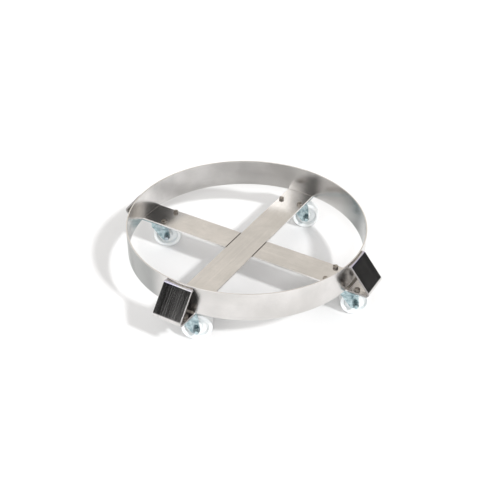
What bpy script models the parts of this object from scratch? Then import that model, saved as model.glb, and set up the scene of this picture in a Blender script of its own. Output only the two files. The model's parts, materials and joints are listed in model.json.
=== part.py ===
"""Drum dolly: a welded ring band on two crossed flat bars, folded up outside it, with four swivel casters.

Blender 4.5, metres, +Z up. The origin is on the floor under the ring's axis. The main bar runs along Y,
and the two halves of the cross bar run along X. Run with: blender --background --python part.py
"""

import math

import bmesh
import bpy
from mathutils import Vector

mm = 0.001

# Ring band that the drum stands in
ring_inner_radius = 305.0 * mm
ring_wall = 3.0 * mm
ring_height = 76.2 * mm

# Flat bars under the ring, folded up outside it into open outriggers
bar_thickness = 4.8 * mm
bar_edge_distance = 10.4 * mm  # bolt centre to the bar's side
cross_joint_gap = 1.2 * mm  # main bar's side to the end of each cross bar half
joint_chamfer = 1.0 * mm  # weld groove along the cross joint's upper edges
outrigger_depth = 57.0 * mm  # ring's outer wall to the fold's outermost line
outrigger_drop = 6.0 * mm  # rim of the ring to the top of an outrigger
fold_radius = 10.0 * mm  # outside of each bend

# Casters
caster_inset = 18.0 * mm  # ring's inner wall to the swivel axis
plate_thickness = 2.8 * mm
plate_edge_distance = 10.9 * mm  # bolt centre to the plate's long side
plate_end_distance = 9.6 * mm  # bolt centre to the plate's short side
plate_corner_radius = 6.0 * mm
bolt_spacing_along = 85.7 * mm
bolt_spacing_across = 57.2 * mm
race_lip_radius = 22.0 * mm
race_lip_wall = 2.0 * mm
race_lip_depth = 3.0 * mm
upper_ball_radius = 2.5 * mm
upper_race_radius = 16.5 * mm
lower_ball_radius = 2.0 * mm
lower_race_radius = 10.5 * mm
ball_pitch = 2.5  # ball to ball, in ball radii
ball_neck = 0.8  # ball's centre to where it joins the next, in ball radii
lower_cup_thickness = 1.8 * mm
lower_cup_rim = 2.5 * mm  # outermost reach of the balls to the cup's edge
kingpin_radius = 5.5 * mm
kingpin_head_radius = 8.0 * mm
kingpin_head_height = 2.0 * mm

fork_sheet = 2.5 * mm
fork_bend_radius = 4.5 * mm  # outside of the bend between crown and legs
fork_crown_front = 22.0 * mm  # swivel axis to the crown's front edge
fork_crown_rear = 29.5 * mm
fork_crown_lip = 7.0 * mm  # height of the crown's straight front edge
fork_boss_radius = 12.3 * mm  # round lower end of each leg
fork_boss_lead = 4.5 * mm  # axle to that round end's centre, towards the front
fork_boss_drop = 1.6 * mm  # and how much lower it is
trail = 27.0 * mm  # swivel axis to the wheel's axis, level
trail_direction = math.radians(30.0)  # all four casters, turned from +X

wheel_radius = 38.1 * mm
wheel_width = 31.8 * mm
wheel_hub_length = 36.0 * mm
wheel_hub_radius = 11.5 * mm
wheel_web_thickness = 15.0 * mm
wheel_rim_depth = 8.5 * mm  # tread to the inside of the rim
wheel_edge_round = 2.6 * mm
wheel_wall_slope = 2.5 * mm
sleeve_radius = 6.3 * mm

# Fasteners
bolt_radius = 3.97 * mm
bolt_hole_radius = 4.75 * mm
bolt_head_flats = 12.7 * mm
bolt_head_height = 5.4 * mm
bolt_end = 1.5 * mm  # thread showing past the nut
nut_height = 6.7 * mm
axle_radius = 4.76 * mm
axle_flats = 14.3 * mm  # across the hexagons of the axle's head and nut
axle_head_height = 6.1 * mm
axle_nut_height = 8.3 * mm  # hexagon only
axle_nut_collar_radius = 6.35 * mm
axle_nut_collar_height = 3.2 * mm
axle_end = 3.0 * mm  # thread showing past the collar
washer_thickness = 1.6 * mm

# Clearances
contact_gap = 0.3 * mm  # between faces that touch
running_gap = 0.3 * mm  # between a shaft and what turns on it
wheel_clearance = 1.5 * mm  # wheel to the lower ball cup above it
hub_side_gap = 0.8 * mm  # wheel's hub to each fork leg

# Facets
ring_facets = 96
wheel_facets = 32
round_facets = 12
ball_facets = 6
bend_steps = 6
fork_bend_steps = 3

# Heights, from the floor up through a caster to the rim
kingpin_head_top = 2 * wheel_radius + wheel_clearance - contact_gap
lower_cup_bottom = 2 * wheel_radius + wheel_clearance
lower_balls_height = lower_cup_bottom + lower_cup_thickness + contact_gap + lower_ball_radius
crown_bottom = lower_balls_height + lower_ball_radius + contact_gap
crown_top = crown_bottom + fork_sheet
upper_balls_height = crown_top + contact_gap + upper_ball_radius
plate_bottom = upper_balls_height + upper_ball_radius + contact_gap
plate_top = plate_bottom + plate_thickness
bar_bottom = plate_top + contact_gap
bar_top = bar_bottom + bar_thickness
ring_bottom = bar_top + contact_gap
ring_top = ring_bottom + ring_height
outrigger_top = ring_top - outrigger_drop

# Sizes that follow from the ones above
ring_outer_radius = ring_inner_radius + ring_wall
outrigger_reach = ring_outer_radius + outrigger_depth
bar_width = bolt_spacing_across + 2 * bar_edge_distance
caster_circle_radius = ring_inner_radius - caster_inset
fork_inner_width = wheel_hub_length + 2 * hub_side_gap
fork_outer_width = fork_inner_width + 2 * fork_sheet
sleeve_length = fork_inner_width - 2 * contact_gap

# Bar end that carries each caster: its direction from the centre, in degrees from +X
stations = {"right": 0.0, "back": 90.0, "left": 180.0, "front": 270.0}


def clear_scene():
    for old in list(bpy.data.objects):
        bpy.data.objects.remove(old, do_unlink=True)


def make_material(name, colour, roughness, metallic):
    material = bpy.data.materials.new(name)
    material.use_nodes = True
    shader = material.node_tree.nodes["Principled BSDF"]
    shader.inputs["Base Color"].default_value = (*colour, 1.0)
    shader.inputs["Roughness"].default_value = roughness
    shader.inputs["Metallic"].default_value = metallic
    return material


def add_empty(name, location, turn=(0.0, 0.0, 0.0), parent=None):
    empty = bpy.data.objects.new(name, None)
    empty.location = location
    empty.rotation_euler = turn
    empty.parent = parent
    bpy.context.scene.collection.objects.link(empty)
    return empty


def finish_mesh(name, bm, sharp_angle=math.radians(35.0)):
    """Turns the faces outwards and returns the mesh, smooth except at its corners."""
    bmesh.ops.recalc_face_normals(bm, faces=bm.faces)
    mesh = bpy.data.meshes.new(name)
    bm.to_mesh(mesh)
    bm.free()
    mesh.shade_smooth()
    mesh.set_sharp_from_angle(angle=sharp_angle)
    return mesh


def add_piece(name, mesh, material, parent=None):
    piece = bpy.data.objects.new(name, mesh)
    if not mesh.materials:
        mesh.materials.append(material)
    piece.parent = parent
    bpy.context.scene.collection.objects.link(piece)
    return piece


def add_boolean(piece, tool_mesh, operation, parent=None):
    """Cuts or joins a piece with a tool mesh that only this modifier sees."""
    tool = bpy.data.objects.new(f"{piece.name}_{operation.lower()}", tool_mesh)
    tool.parent = parent
    tool.hide_render = True
    tool.display_type = "WIRE"
    bpy.context.scene.collection.objects.link(tool)
    modifier = piece.modifiers.new(operation.title(), "BOOLEAN")
    modifier.operation = operation
    modifier.solver = "EXACT"
    modifier.object = tool


def loft(bm, rings, closed=False):
    """Skins equal rings of points, then caps both ends or joins the last ring to the first."""
    loops = [[bm.verts.new(point) for point in ring] for ring in rings]
    pairs = list(zip(loops, loops[1:]))
    if closed:
        pairs.append((loops[-1], loops[0]))
    for lower, upper in pairs:
        for i in range(len(lower)):
            j = (i + 1) % len(lower)
            bm.faces.new((lower[i], lower[j], upper[j], upper[i]))
    if not closed:
        bm.faces.new(loops[0])
        bm.faces.new(loops[-1])


def circle(radius, height, count=round_facets, turn=0.0, centre=(0.0, 0.0)):
    """Points round a circle, level, at a height."""
    angles = [turn + math.tau * i / count for i in range(count)]
    return [
        (centre[0] + radius * math.cos(a), centre[1] + radius * math.sin(a), height) for a in angles
    ]


def hexagon(flats, height, centre=(0.0, 0.0)):
    """Corners and middles of a level hexagon, as many points as a circle of round_facets."""
    side = math.tau / 6
    points = []
    for i in range(round_facets):
        angle = math.tau * i / round_facets
        radius = flats / 2 / math.cos(angle % side - side / 2)
        points.append(
            (centre[0] + radius * math.cos(angle), centre[1] + radius * math.sin(angle), height)
        )
    return points


def turned(bm, profile, facets, turn=0.0):
    """A closed (radius, height) profile turned about Z."""
    loft(bm, [circle(radius, height, facets, turn) for radius, height in profile], closed=True)


def add_tube(bm, inner, outer, low, high):
    """A straight round tube, between two heights."""
    loft(bm, [circle(outer, low), circle(outer, high), circle(inner, high), circle(inner, low)], closed=True)


def hex_bolt_mesh(name, flats, radius, head_base, head_end, tip, centre=(0.0, 0.0)):
    """A hexagon head from head_base out to head_end, and a shank from head_base the other way to tip."""
    rings = [
        hexagon(flats, head_end, centre),
        hexagon(flats, head_base, centre),
        circle(radius, head_base, centre=centre),
        circle(radius, tip, centre=centre),
    ]
    bm = bmesh.new()
    loft(bm, rings)
    return finish_mesh(name, bm)


def arc(centre, radius, start, end, steps):
    """Points (x, y) along an arc, both ends included."""
    angles = [start + (end - start) * i / steps for i in range(steps + 1)]
    return [(centre[0] + radius * math.cos(a), centre[1] + radius * math.sin(a)) for a in angles]


def bolt_places(centre_distance=0.0):
    """The four bolt centres of a plate whose swivel axis is that far out along X, inner pair first."""
    return [
        (centre_distance + i * bolt_spacing_along / 2, j * bolt_spacing_across / 2)
        for i in (-1, 1)
        for j in (-1, 1)
    ]


# Ring, bars and welds


def outrigger_section():
    """Pairs of (distance out, height) on the strip's outer and inner face, from the flat to its top end.

    The strip bends up round the first centre, runs straight, and bends level round the second,
    so the straight stretch is parallel to the line between the two centres.
    """
    low = Vector((outrigger_reach - fold_radius, bar_bottom + fold_radius))
    high = Vector((ring_outer_radius + contact_gap, outrigger_top - fold_radius))
    slope = (high - low).normalized()
    face_angle = math.atan2(-slope.x, slope.y)
    inside = fold_radius - bar_thickness
    pairs = []
    for centre, start, end in (
        (low, -math.pi / 2, face_angle),
        (high, face_angle, math.pi / 2),
    ):
        outer = arc(centre, fold_radius, start, end, bend_steps)
        inner = arc(centre, inside, start, end, bend_steps)
        pairs.extend(zip(outer, inner))
    return pairs


def strip_rings(pairs):
    """Rectangular cross-sections across X, at each pair of outer and inner points along the strip."""
    half = bar_width / 2
    sides = (-half, half)
    return [
        [(outer[0], y, outer[1]) for y in sides] + [(inner[0], y, inner[1]) for y in reversed(sides)]
        for outer, inner in pairs
    ]


def main_bar_mesh():
    """The whole strip, with a station at each side of the cross bar."""
    joint = bar_width / 2
    end = [((joint, bar_bottom), (joint, bar_top))] + outrigger_section()
    mirrored = [((-o[0], o[1]), (-i[0], i[1])) for o, i in reversed(end)]
    bm = bmesh.new()
    loft(bm, strip_rings(mirrored + end))
    return finish_mesh("main_bar", bm)


def joint_groove_mesh():
    """Two wedges that chamfer the main bar's upper edges where the cross bar meets them."""
    half = bar_width / 2
    bm = bmesh.new()
    for side in (-1, 1):
        wedge = [
            (side * (half - 2 * joint_chamfer), bar_top + joint_chamfer),
            (side * (half + joint_chamfer), bar_top + joint_chamfer),
            (side * (half + joint_chamfer), bar_top - 2 * joint_chamfer),
        ]
        loft(bm, [[(x, y, z) for y, z in wedge] for x in (-half, half)])
    return finish_mesh("joint_groove", bm)


def cross_bar_mesh():
    start = bar_width / 2 + cross_joint_gap
    square = start + joint_chamfer
    chamfered_end = [
        ((start, bar_bottom), (start, bar_top - joint_chamfer)),
        ((square, bar_bottom), (square, bar_top)),
    ]
    bm = bmesh.new()
    loft(bm, strip_rings(chamfered_end + outrigger_section()))
    return finish_mesh("cross_bar", bm)


def bar_drill_mesh(directions):
    """Drills for the plate bolts of the casters that lie in those directions, +1 or -1 along X."""
    bm = bmesh.new()
    for direction in directions:
        for x, y in bolt_places(caster_circle_radius):
            centre = (direction * x, y)
            low = circle(bolt_hole_radius, bar_bottom - bar_thickness, centre=centre)
            high = circle(bolt_hole_radius, bar_top + bar_thickness, centre=centre)
            loft(bm, [low, high])
    return finish_mesh("bar_drill", bm)


def ring_mesh():
    bm = bmesh.new()
    profile = [
        (ring_inner_radius, ring_bottom),
        (ring_outer_radius, ring_bottom),
        (ring_outer_radius, ring_top),
        (ring_inner_radius, ring_top),
    ]
    turned(bm, profile, ring_facets)
    return finish_mesh("ring_band", bm)


# Casters, each about its swivel axis: in the bar's frame where fixed, and with the wheel trailing along +X


def plate_mesh():
    """A flat plate with round corners, its long side along X."""
    half_x = bolt_spacing_along / 2 + plate_end_distance - plate_corner_radius
    half_y = bolt_spacing_across / 2 + plate_edge_distance - plate_corner_radius
    outline = []
    for turn, i, j in ((0, 1, 1), (1, -1, 1), (2, -1, -1), (3, 1, -1)):
        start = turn * math.pi / 2
        outline += arc((i * half_x, j * half_y), plate_corner_radius, start, start + math.pi / 2, fork_bend_steps)
    bm = bmesh.new()
    loft(bm, [[(x, y, z) for x, y in outline] for z in (plate_bottom, plate_top)])
    return finish_mesh("top_plate", bm)


def race_lip_mesh():
    """The pressed lip round the upper balls, which reaches up into the plate that it is joined to."""
    bm = bmesh.new()
    low = plate_bottom - race_lip_depth
    add_tube(bm, race_lip_radius - race_lip_wall, race_lip_radius, low, plate_bottom + plate_thickness / 2)
    return finish_mesh("race_lip", bm)


def plate_drill_mesh():
    bm = bmesh.new()
    low = plate_bottom - race_lip_depth - plate_thickness
    high = plate_top + plate_thickness
    for centre in bolt_places():
        loft(bm, [circle(bolt_hole_radius, z, centre=centre) for z in (low, high)])
    loft(bm, [circle(kingpin_radius + contact_gap, z) for z in (low, high)])
    return finish_mesh("plate_drill", bm)


def kingpin_mesh():
    bm = bmesh.new()
    rings = [
        circle(kingpin_head_radius, kingpin_head_top - kingpin_head_height),
        circle(kingpin_head_radius, kingpin_head_top),
        circle(kingpin_radius, kingpin_head_top),
        circle(kingpin_radius, plate_top),
    ]
    loft(bm, rings)
    return finish_mesh("kingpin", bm)


def lower_cup_mesh():
    bm = bmesh.new()
    outer = lower_race_radius + lower_ball_radius + lower_cup_rim
    top = lower_cup_bottom + lower_cup_thickness
    add_tube(bm, kingpin_radius + contact_gap, outer, lower_cup_bottom, top)
    return finish_mesh("lower_cup", bm)


def balls_mesh(name, ball_radius, race_radius, height):
    """A full ring of balls, joined into one body by a neck where each meets the next."""
    count = int(math.tau * race_radius / (ball_pitch * ball_radius))
    neck_turn = ball_neck * ball_radius / race_radius
    neck_radius = ball_radius * math.sqrt(1 - ball_neck**2)
    sections = []
    for i in range(count):
        middle = math.tau * i / count
        sections += [(middle - neck_turn, neck_radius), (middle, ball_radius), (middle + neck_turn, neck_radius)]
    rings = []
    for angle, thickness in sections:
        section = arc((race_radius, height), thickness, 0, math.tau * (1 - 1 / ball_facets), ball_facets - 1)
        rings.append([(r * math.cos(angle), r * math.sin(angle), z) for r, z in section])
    bm = bmesh.new()
    loft(bm, rings, closed=True)
    return finish_mesh(name, bm)


def fork_channel_mesh():
    """The fork's U section, crown up, as long as the whole fork."""
    half = fork_outer_width / 2
    bend = half - fork_bend_radius
    level = crown_top - fork_bend_radius
    floor = wheel_radius - 2 * fork_boss_radius
    inner_bend = fork_bend_radius - fork_sheet
    outside = (
        [(half, floor)]
        + arc((bend, level), fork_bend_radius, 0, math.pi / 2, fork_bend_steps)
        + arc((-bend, level), fork_bend_radius, math.pi / 2, math.pi, fork_bend_steps)
        + [(-half, floor)]
    )
    inside = (
        [(-half + fork_sheet, floor)]
        + arc((-bend, level), inner_bend, math.pi, math.pi / 2, fork_bend_steps)
        + arc((bend, level), inner_bend, math.pi / 2, 0, fork_bend_steps)
        + [(half - fork_sheet, floor)]
    )
    reach = fork_crown_front + fork_crown_rear + trail + fork_boss_radius
    bm = bmesh.new()
    loft(bm, [[(x, y, z) for y, z in outside + inside] for x in (-reach, reach)])
    return finish_mesh("fork", bm)


def tangent_angle(point, centre, radius, side):
    """Where a line from a point touches a circle, as an angle round it; side picks one of the two lines."""
    away = Vector(point) - Vector(centre)
    return math.atan2(away.y, away.x) + side * math.acos(radius / away.length)


def fork_side_mesh():
    """The fork seen from the side: a level crown and legs that taper to a round end at the axle."""
    boss = (trail - fork_boss_lead, wheel_radius - fork_boss_drop)
    rear = (fork_crown_rear, crown_top)
    front = (-fork_crown_front, crown_top - fork_crown_lip)
    rear_angle = tangent_angle(rear, boss, fork_boss_radius, -1)
    front_angle = tangent_angle(front, boss, fork_boss_radius, 1)
    round_end = arc(boss, fork_boss_radius, front_angle - math.tau, rear_angle, 2 * bend_steps)
    above = crown_top + fork_sheet
    outline = [(-fork_crown_front, above), front] + round_end + [rear, (fork_crown_rear, above)]
    bm = bmesh.new()
    loft(bm, [[(x, y, z) for x, z in outline] for y in (-fork_outer_width, fork_outer_width)])
    return finish_mesh("fork_side", bm)


def fork_drill_mesh():
    """Drills for the kingpin, down through the crown, and for the axle, across both legs."""
    bm = bmesh.new()
    hole = kingpin_radius + contact_gap + running_gap
    loft(bm, [circle(hole, z) for z in (crown_bottom - fork_sheet, crown_top + fork_sheet)])
    across = [circle(axle_radius + contact_gap, y) for y in (-fork_outer_width, fork_outer_width)]
    loft(bm, [[(trail + x, y, wheel_radius + z) for x, z, y in ring] for ring in across])
    return finish_mesh("fork_drill", bm)


# Wheel and axle, each about the axle with its axis along Z


def wheel_mesh():
    """Tread, rims, recessed web and hub, turned, with a facet of the tread flat on the floor."""
    inside = wheel_radius - wheel_rim_depth
    half_side = [
        (sleeve_radius + running_gap, wheel_hub_length / 2),
        (wheel_hub_radius, wheel_hub_length / 2),
        (wheel_hub_radius + wheel_wall_slope, wheel_web_thickness / 2),
        (inside - wheel_wall_slope, wheel_web_thickness / 2),
        (inside, wheel_width / 2),
        (wheel_radius - wheel_edge_round, wheel_width / 2),
        (wheel_radius, wheel_width / 2 - wheel_edge_round),
    ]
    profile = half_side + [(radius, -height) for radius, height in reversed(half_side)]
    corner = 1 / math.cos(math.pi / wheel_facets)
    bm = bmesh.new()
    turned(bm, [(radius * corner, height) for radius, height in profile], wheel_facets, math.pi / wheel_facets)
    return finish_mesh("wheel", bm)


def sleeve_mesh():
    bm = bmesh.new()
    add_tube(bm, axle_radius + contact_gap, sleeve_radius, -sleeve_length / 2, sleeve_length / 2)
    return finish_mesh("axle_sleeve", bm)


def axle_bolt_mesh():
    """Head against the far leg, at -Z, and the thread through the nut on the near one."""
    base = fork_outer_width / 2 + contact_gap
    tip = base + axle_nut_height + axle_nut_collar_height + axle_end
    return hex_bolt_mesh("axle_bolt", axle_flats, axle_radius, -base, -base - axle_head_height, tip)


def axle_nut_mesh():
    """A hexagon against the leg with a round locking collar on its outer end."""
    low = fork_outer_width / 2 + contact_gap
    shoulder = low + axle_nut_height
    end = shoulder + axle_nut_collar_height
    bore = axle_radius + contact_gap
    rings = [
        hexagon(axle_flats, low),
        hexagon(axle_flats, shoulder),
        circle(axle_nut_collar_radius, shoulder),
        circle(axle_nut_collar_radius, end),
        circle(bore, end),
        circle(bore, low),
    ]
    bm = bmesh.new()
    loft(bm, rings, closed=True)
    return finish_mesh("axle_nut", bm)


def plate_bolt_mesh(x, y):
    """Head on the bar, shank down through the bar and the plate to its thread's end below the nut."""
    base = bar_top + contact_gap
    tip = plate_bottom - 2 * contact_gap - washer_thickness - nut_height - bolt_end
    return hex_bolt_mesh("plate_bolt", bolt_head_flats, bolt_radius, base, base + bolt_head_height, tip, (x, y))


def build_frame(stainless):
    add_piece("ring_band", ring_mesh(), stainless)
    main_bar = add_piece("main_bar", main_bar_mesh(), stainless)
    main_bar.rotation_euler = (0.0, 0.0, math.pi / 2)
    drill_frame = add_empty("main_bar_frame", (0.0, 0.0, 0.0), (0.0, 0.0, math.pi / 2))
    add_boolean(main_bar, joint_groove_mesh(), "DIFFERENCE", drill_frame)
    add_boolean(main_bar, bar_drill_mesh((-1, 1)), "DIFFERENCE", drill_frame)
    half_bar = cross_bar_mesh()
    half_drill = bar_drill_mesh((1,))
    for side in ("right", "left"):
        turn = (0.0, 0.0, math.radians(stations[side]))
        half_frame = add_empty(f"cross_bar_{side}_frame", (0.0, 0.0, 0.0), turn)
        half = add_piece(f"cross_bar_{side}", half_bar, stainless, half_frame)
        add_boolean(half, half_drill, "DIFFERENCE", half_frame)


def build_casters(zinc, ball_steel, nylon, dark_zinc):
    upper = balls_mesh("upper_balls", upper_ball_radius, upper_race_radius, upper_balls_height)
    lower = balls_mesh("lower_balls", lower_ball_radius, lower_race_radius, lower_balls_height)
    fixed_pieces = {
        "kingpin": (kingpin_mesh(), zinc),
        "lower_cup": (lower_cup_mesh(), zinc),
        "upper_balls": (upper, ball_steel),
        "lower_balls": (lower, ball_steel),
    }
    axle_pieces = {
        "axle_sleeve": (sleeve_mesh(), zinc),
        "axle_bolt": (axle_bolt_mesh(), zinc),
        "axle_nut": (axle_nut_mesh(), dark_zinc),
        "wheel": (wheel_mesh(), nylon),
    }
    plate, lip, plate_drill = plate_mesh(), race_lip_mesh(), plate_drill_mesh()
    channel, side, fork_drill = fork_channel_mesh(), fork_side_mesh(), fork_drill_mesh()
    for station, degrees in stations.items():
        turn = math.radians(degrees)
        place = (caster_circle_radius * math.cos(turn), caster_circle_radius * math.sin(turn), 0.0)
        fixed = add_empty(f"caster_{station}", place, (0.0, 0.0, turn))
        swivel = add_empty(f"swivel_{station}", place, (0.0, 0.0, trail_direction))
        axle = add_empty(f"axle_{station}", (trail, 0.0, wheel_radius), (math.pi / 2, 0.0, 0.0), swivel)
        top_plate = add_piece(f"top_plate_{station}", plate, zinc, fixed)
        add_boolean(top_plate, lip, "UNION", fixed)
        add_boolean(top_plate, plate_drill, "DIFFERENCE", fixed)
        fork = add_piece(f"fork_{station}", channel, zinc, swivel)
        add_boolean(fork, side, "INTERSECT", swivel)
        add_boolean(fork, fork_drill, "DIFFERENCE", swivel)
        for name, (mesh, material) in fixed_pieces.items():
            add_piece(f"{name}_{station}", mesh, material, fixed)
        for name, (mesh, material) in axle_pieces.items():
            add_piece(f"{name}_{station}", mesh, material, axle)
        for number, (x, y) in enumerate(bolt_places(), start=1):
            bolt = plate_bolt_mesh(x, y)
            add_piece(f"plate_bolt_{station}_{number}", bolt, zinc, fixed)


def main():
    clear_scene()
    stainless = make_material("brushed_stainless", (0.72, 0.69, 0.65), 0.28, 1.0)
    zinc = make_material("zinc_plate", (0.66, 0.72, 0.75), 0.32, 1.0)
    dark_zinc = make_material("dark_zinc_nut", (0.30, 0.36, 0.38), 0.30, 1.0)
    ball_steel = make_material("ball_steel", (0.60, 0.60, 0.60), 0.15, 1.0)
    nylon = make_material("white_nylon", (0.90, 0.92, 0.91), 0.40, 0.0)
    build_frame(stainless)
    build_casters(zinc, ball_steel, nylon, dark_zinc)


main()
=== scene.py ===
import json
import math

import bmesh
import bpy
import numpy as np
from mathutils import Matrix, Vector


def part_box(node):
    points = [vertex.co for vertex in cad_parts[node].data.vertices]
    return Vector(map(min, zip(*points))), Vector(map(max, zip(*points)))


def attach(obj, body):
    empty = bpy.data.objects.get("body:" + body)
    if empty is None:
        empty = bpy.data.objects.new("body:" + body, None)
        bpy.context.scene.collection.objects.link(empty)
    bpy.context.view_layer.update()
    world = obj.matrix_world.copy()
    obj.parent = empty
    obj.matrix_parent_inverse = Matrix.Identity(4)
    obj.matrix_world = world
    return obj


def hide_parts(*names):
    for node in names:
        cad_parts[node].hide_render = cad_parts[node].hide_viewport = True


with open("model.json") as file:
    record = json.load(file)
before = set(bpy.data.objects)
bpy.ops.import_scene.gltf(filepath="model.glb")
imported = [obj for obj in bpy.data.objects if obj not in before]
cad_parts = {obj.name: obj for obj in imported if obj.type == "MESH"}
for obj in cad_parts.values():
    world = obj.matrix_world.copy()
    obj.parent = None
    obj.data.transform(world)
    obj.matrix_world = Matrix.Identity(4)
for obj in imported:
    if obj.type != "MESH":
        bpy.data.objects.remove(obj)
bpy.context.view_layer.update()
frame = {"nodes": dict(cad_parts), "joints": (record.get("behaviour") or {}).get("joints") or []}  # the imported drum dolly, in metres, origin on the floor under the ring's axis
stations = ["right", "back", "left", "front"]  # the four bar ends, each over a caster
mm = 0.001
print("stage: frame loaded")


# measures of the CAD nodes, so that every new piece takes its place and size from them


def nodePoints(node):
    mesh = frame["nodes"][node].data
    points = np.empty(len(mesh.vertices) * 3, np.float32)
    mesh.vertices.foreach_get("co", points)
    return points.reshape(-1, 3).astype(float)


def extent(node, direction, origin=(0.0, 0.0, 0.0)):
    # how far the node reaches along a direction from an origin: its lowest and highest value
    along = (nodePoints(node) - np.asarray(origin)) @ np.asarray(direction, float)
    return along.min(), along.max()


def radii(node, origin=(0.0, 0.0, 0.0), axis=(0.0, 0.0, 1.0)):
    # least and greatest distance of the node's points from an axis
    away = np.linalg.norm(np.cross(nodePoints(node) - np.asarray(origin), np.asarray(axis, float)), axis=1)
    return away.min(), away.max()


def middle(node):
    low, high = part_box(node)
    return np.array((low + high) / 2)


xAxis, yAxis, zAxis = np.eye(3)
joints = {joint["name"]: joint for joint in frame["joints"]}
ringInner, ringOuter = radii("ring_band")
ringLow, ringHigh = extent("ring_band", zAxis)
barLow, outriggerTop = extent("main_bar", zAxis)
barHalf = extent("main_bar", xAxis)[1]
outriggerReach = extent("main_bar", yAxis)[1]


# surfaces: each is (points, quads, capping faces), and a piece is made of one or more of them


def gridFaces(rows, columns, wrapRows, wrapColumns):
    # quads between neighbouring rows and columns of points numbered row by row
    row, column = np.meshgrid(
        np.arange(rows if wrapRows else rows - 1),
        np.arange(columns if wrapColumns else columns - 1),
        indexing="ij",
    )
    nextRow, nextColumn = (row + 1) % rows, (column + 1) % columns
    corners = [(row, column), (row, nextColumn), (nextRow, nextColumn), (nextRow, column)]
    return np.stack([r * columns + c for r, c in corners], axis=-1).reshape(-1, 4)


def surface(points, wrapRows=False, wrapColumns=True, caps=False):
    # a grid of points, rows by columns by three, skinned with quads and closed at its first and last row
    rows, columns = points.shape[:2]
    quads = gridFaces(rows, columns, wrapRows, wrapColumns)
    first = list(range(columns))
    last = list(range((rows - 1) * columns, rows * columns))
    return points.reshape(-1, 3), quads, [first[::-1], last] if caps else []


def repeated(shape, moves):
    # the same surface once for each move, side by side in one set of points
    points, quads, caps = shape
    moves = np.asarray(moves, float)
    count = len(points)
    allPoints = (points[None] + moves[:, None]).reshape(-1, 3)
    starts = np.arange(len(moves)) * count
    allQuads = (quads[None] + starts[:, None, None]).reshape(-1, 4)
    return allPoints, allQuads, [[i + s for i in cap] for s in starts.tolist() for cap in caps]


def placed(shape, origin, axes):
    # local coordinates laid along three axes from an origin
    points, quads, caps = shape
    return np.asarray(origin) + points @ np.asarray(axes), quads, caps


def roundedOutline(corners, rounding, steps=5, closed=True, held=False):
    # each corner of an outline becomes an arc of its own radius that touches both sides there; held adds
    # a point on each side just past the arc, so that the sides shade flat
    corners = np.asarray(corners, float)
    rounding = np.broadcast_to(rounding, len(corners))
    parts = []
    for i, corner in enumerate(corners):
        before = corners[i - 1] - corner
        after = corners[(i + 1) % len(corners)] - corner
        atEnd = not closed and i in (0, len(corners) - 1)
        if atEnd or rounding[i] == 0:
            parts.append(corner[None])
            continue
        before /= np.linalg.norm(before)
        after /= np.linalg.norm(after)
        half = math.acos(np.clip(before @ after, -1, 1)) / 2
        bisector = (before + after) / np.linalg.norm(before + after)
        centre = corner + bisector * rounding[i] / math.sin(half)
        reach = rounding[i] / math.tan(half)
        start, end = corner + before * reach - centre, corner + after * reach - centre
        turn = math.pi - 2 * half
        t = np.linspace(0, 1, steps + 1)[:, None]
        arc = centre + (start * np.sin((1 - t) * turn) + end * np.sin(t * turn)) / math.sin(turn)
        beyond = reach + 0.5 * rounding[i]
        parts.append(np.vstack([corner + before * beyond, arc, corner + after * beyond]) if held else arc)
    return np.concatenate(parts)


def fullTurn(count):
    return np.linspace(0, math.tau, count, endpoint=False)


def aroundZ(radius, angle, height):
    # points at a distance from the local z axis, an angle round it and a height
    return np.stack(np.broadcast_arrays(radius * np.cos(angle), radius * np.sin(angle), height), axis=-1)


def turned(profile, segments=96, wrapRows=True, caps=False):
    # a (radius, height) profile turned once about the local z axis
    radius, height = np.asarray(profile, float).T[:, :, None]
    return surface(aroundZ(radius, fullTurn(segments), height), wrapRows=wrapRows, caps=caps)


def smoothStep(low, high, value):
    t = np.clip((value - low) / (high - low), 0, 1)
    return t * t * (3 - 2 * t)


def addPiece(name, shapes, material, body, nodes=(), sharpAngle=32.0, painted=None):
    # joins the surfaces into one mesh with its faces turned outwards, smooth except at its corners; painted
    # holds values for its points by mask name
    starts = np.cumsum([0] + [len(shape[0]) for shape in shapes])
    faces = []
    for start, (_, quads, caps) in zip(starts.tolist(), shapes):
        faces += (quads + start).tolist()
        faces += [[i + start for i in cap] for cap in caps]
    mesh = bpy.data.meshes.new(name)
    mesh.from_pydata(np.concatenate([shape[0] for shape in shapes]).tolist(), [], faces)
    for mask, values in (painted or {}).items():
        mesh.attributes.new(mask, "FLOAT", "POINT").data.foreach_set("value", values.astype(np.float32))
    work = bmesh.new()
    work.from_mesh(mesh)
    bmesh.ops.remove_doubles(work, verts=work.verts, dist=1e-6)
    bmesh.ops.recalc_face_normals(work, faces=work.faces)
    work.to_mesh(mesh)
    work.free()
    mesh.shade_smooth()
    mesh.set_sharp_from_angle(angle=math.radians(sharpAngle))
    mesh.materials.append(material)
    piece = bpy.data.objects.new(name, mesh)
    bpy.context.scene.collection.objects.link(piece)
    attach(piece, body)
    if nodes:
        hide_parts(*nodes)
    return piece


def cutFrom(piece, shapes, sharpAngle=32.0):
    # takes closed surfaces away from a piece and keeps the result as its mesh
    tool = addPiece(piece.name + "_tool", shapes, piece.data.materials[0], "frame")
    modifier = piece.modifiers.new("cut", "BOOLEAN")
    modifier.object = tool
    modifier.solver = "EXACT"
    bpy.context.view_layer.update()
    cut = bpy.data.meshes.new_from_object(piece.evaluated_get(bpy.context.evaluated_depsgraph_get()))
    piece.modifiers.clear()
    piece.data = cut
    bpy.data.objects.remove(tool, do_unlink=True)
    cut.shade_smooth()
    cut.set_sharp_from_angle(angle=math.radians(sharpAngle))
    return piece


def softenEdges(piece, width):
    # a narrow round along the edges that turn by more than the angle
    bevel = piece.modifiers.new("edges", "BEVEL")
    bevel.width = width
    bevel.segments = 2
    bevel.limit_method = "ANGLE"
    bevel.angle_limit = math.radians(40.0)


# materials


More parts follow.
